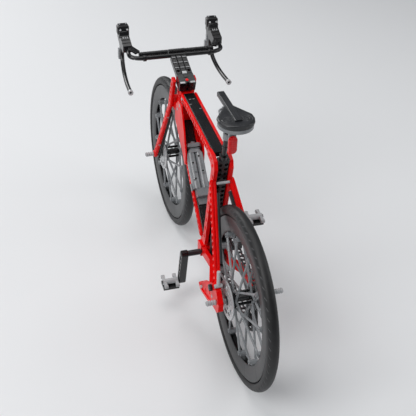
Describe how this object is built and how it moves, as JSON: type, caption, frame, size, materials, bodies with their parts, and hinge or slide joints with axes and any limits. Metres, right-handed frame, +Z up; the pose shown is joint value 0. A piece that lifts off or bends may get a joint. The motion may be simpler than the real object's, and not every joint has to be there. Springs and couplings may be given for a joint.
{
  "type": "brick-built model road bicycle",
  "caption": "Scale model of a drop-bar road bicycle in pinned plastic beams: turning fork, spoked wheels, crank with chain drive, saddle, bottle and rear reflector.",
  "frame": {"origin": "on the ground, midway between the two wheel contact points, in the middle plane", "axes": "+X forward, +Y to the rider's left, +Z up"},
  "size_m": [0.592, 0.156, 0.3495],
  "materials": {
    "red_plastic": "glossy moulded plastic",
    "black_plastic": "glossy moulded plastic",
    "dark_plastic": "glossy moulded plastic",
    "light_plastic": "glossy moulded plastic",
    "tyre_rubber": "smooth, slightly worn rubber",
    "red_clear": "translucent moulded plastic"
  },
  "bodies": {
    "frame": {"head_tube": "red_plastic", "head_gussets": "red_plastic", "top_tube_rails": "red_plastic", "top_tube_cover": "black_plastic", "down_tube_rails": "red_plastic", "down_tube_panel": "black_plastic", "seat_tube_core": "black_plastic", "seat_tube_plates": "red_plastic", "seat_post": "black_plastic", "seat_stays": "red_plastic", "seat_stay_inner_bars": "dark_plastic", "chainstays": "red_plastic", "dropouts": "red_plastic", "bottom_bracket_shell": "red_plastic", "frame_pins": "light_plastic", "rear_axle": "light_plastic", "chain": "light_plastic", "derailleur": "black_plastic", "saddle_nose": "dark_plastic", "saddle_wings": "dark_plastic", "saddle_underframe": "light_plastic", "reflector_bracket": "light_plastic", "reflector_lens": "red_clear", "bottle_body": "light_plastic", "bottle_cap": "light_plastic", "bottle_base": "light_plastic"},
    "steering": {"steerer": "red_plastic", "fork_crown": "red_plastic", "fork_outer_blades": "red_plastic", "fork_inner_blades": "dark_plastic", "front_axle": "light_plastic", "stem": "black_plastic", "handlebar": "black_plastic", "bar_segments": "black_plastic", "bar_end_caps": "light_plastic", "brake_hoods": "black_plastic"},
    "front_wheel": {"front_tyre": "tyre_rubber", "front_rim": "dark_plastic", "front_spoke_clips": "light_plastic", "front_spokes": "light_plastic", "front_hub": "black_plastic", "front_rotor": "light_plastic"},
    "rear_wheel": {"rear_tyre": "tyre_rubber", "rear_rim": "dark_plastic", "rear_spoke_clips": "light_plastic", "rear_spokes": "light_plastic", "rear_hub": "black_plastic", "rear_rotor": "light_plastic", "rear_sprocket": "dark_plastic"},
    "crankset": {"crank_axle": "dark_plastic", "crank_arms": "black_plastic", "chainring": "dark_plastic"},
    "pedal_left": {"pedal_left_cage": "light_plastic", "pedal_left_pad": "black_plastic"},
    "pedal_right": {"pedal_right_cage": "light_plastic", "pedal_right_pad": "black_plastic"},
    "lever_left": {"brake_lever_left": "light_plastic"},
    "lever_right": {"brake_lever_right": "light_plastic"},
    "pulley_upper": {"pulley_upper": "black_plastic"},
    "pulley_lower": {"pulley_lower": "black_plastic"}
  },
  "joints": [
    {"name": "steering_turn", "type": "hinge", "parent": "frame", "child": "steering", "pos_m": [0.16074, 0, 0.11519], "axis": [-0.3007, 0, 0.9537], "range_deg": [-25, 25]},
    {"name": "front_wheel_spin", "type": "hinge", "parent": "steering", "child": "front_wheel", "pos_m": [0.176, 0, 0.12], "axis": [0, 1, 0], "continuous": true},
    {"name": "rear_wheel_spin", "type": "hinge", "parent": "frame", "child": "rear_wheel", "pos_m": [-0.176, 0, 0.12], "axis": [0, 1, 0], "continuous": true},
    {"name": "crank_spin", "type": "hinge", "parent": "frame", "child": "crankset", "pos_m": [-0.048, 0, 0.096], "axis": [0, 1, 0], "continuous": true},
    {"name": "pedal_left_spin", "type": "hinge", "parent": "crankset", "child": "pedal_left", "pos_m": [-0.03828, 0.0565, 0.04085], "axis": [0, 1, 0], "continuous": true},
    {"name": "pedal_right_spin", "type": "hinge", "parent": "crankset", "child": "pedal_right", "pos_m": [-0.05772, -0.0565, 0.15115], "axis": [0, 1, 0], "continuous": true},
    {"name": "brake_lever_left_pull", "type": "hinge", "parent": "steering", "child": "lever_left", "pos_m": [0.212, 0.068, 0.314], "axis": [0, 1, 0], "range_deg": [0, 10]},
    {"name": "brake_lever_right_pull", "type": "hinge", "parent": "steering", "child": "lever_right", "pos_m": [0.212, -0.068, 0.314], "axis": [0, 1, 0], "range_deg": [0, 10]},
    {"name": "pulley_upper_spin", "type": "hinge", "parent": "frame", "child": "pulley_upper", "pos_m": [-0.165, -0.02, 0.092], "axis": [0, 1, 0], "continuous": true},
    {"name": "pulley_lower_spin", "type": "hinge", "parent": "frame", "child": "pulley_lower", "pos_m": [-0.172, -0.02, 0.068], "axis": [0, 1, 0], "continuous": true}
  ],
  "couplings": [
    {"joint": "crank_spin", "follows": "rear_wheel_spin", "ratio": 0.42857},
    {"joint": "pulley_upper_spin", "follows": "rear_wheel_spin", "ratio": -1.5},
    {"joint": "pulley_lower_spin", "follows": "rear_wheel_spin", "ratio": 1.5}
  ]
}
